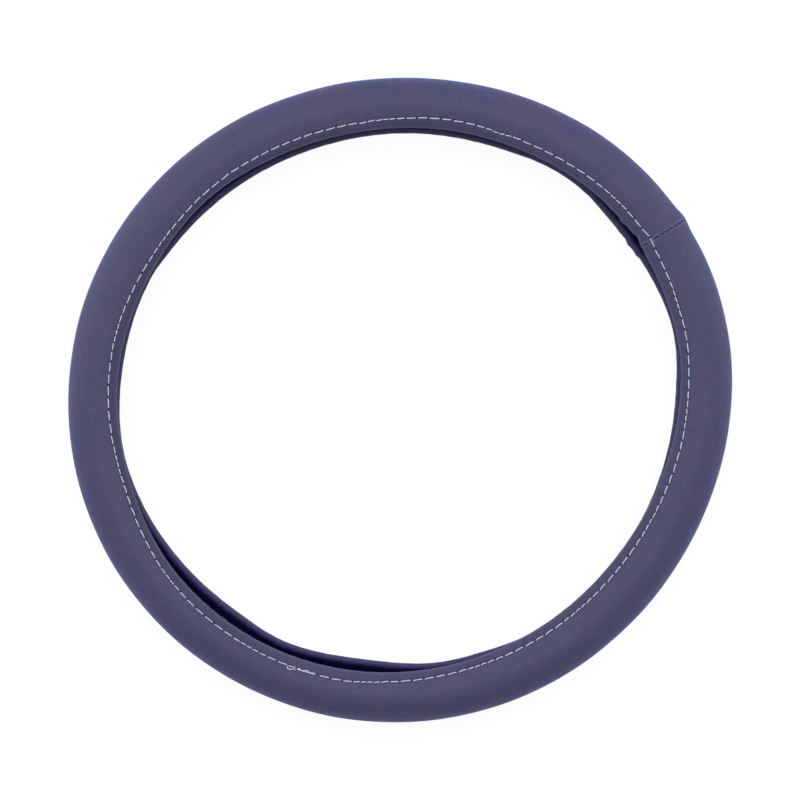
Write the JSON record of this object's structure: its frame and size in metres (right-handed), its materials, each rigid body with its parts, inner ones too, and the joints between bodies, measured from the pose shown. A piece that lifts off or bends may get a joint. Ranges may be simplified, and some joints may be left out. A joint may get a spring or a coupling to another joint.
{
  "type": "steering wheel cover",
  "caption": "Soft ring of padded leatherette with a C-shaped section and a rubber lining, topstitched along both lips, pulled over a steering wheel's rim.",
  "frame": {"origin": "under the middle of the ring, in the plane that its back crown rests on", "axes": "+Z out of the ring's front face, +X and +Y across the ring as seen from the front"},
  "size_m": [0.3848, 0.374, 0.0333],
  "materials": {
    "leatherette": "slate purple, matte, fine grain",
    "liner_rubber": "black, matte",
    "pale_thread": "pale grey twisted thread",
    "dark_thread": "dark violet thread"
  },
  "bodies": {
    "root": {"cover_skin": "leatherette", "rubber_liner": "liner_rubber", "front_top_thread": "pale_thread", "back_top_thread": "pale_thread", "front_bobbin_thread": "dark_thread", "back_bobbin_thread": "dark_thread", "cross_seam_thread": "dark_thread"}
  },
  "joints": []
}
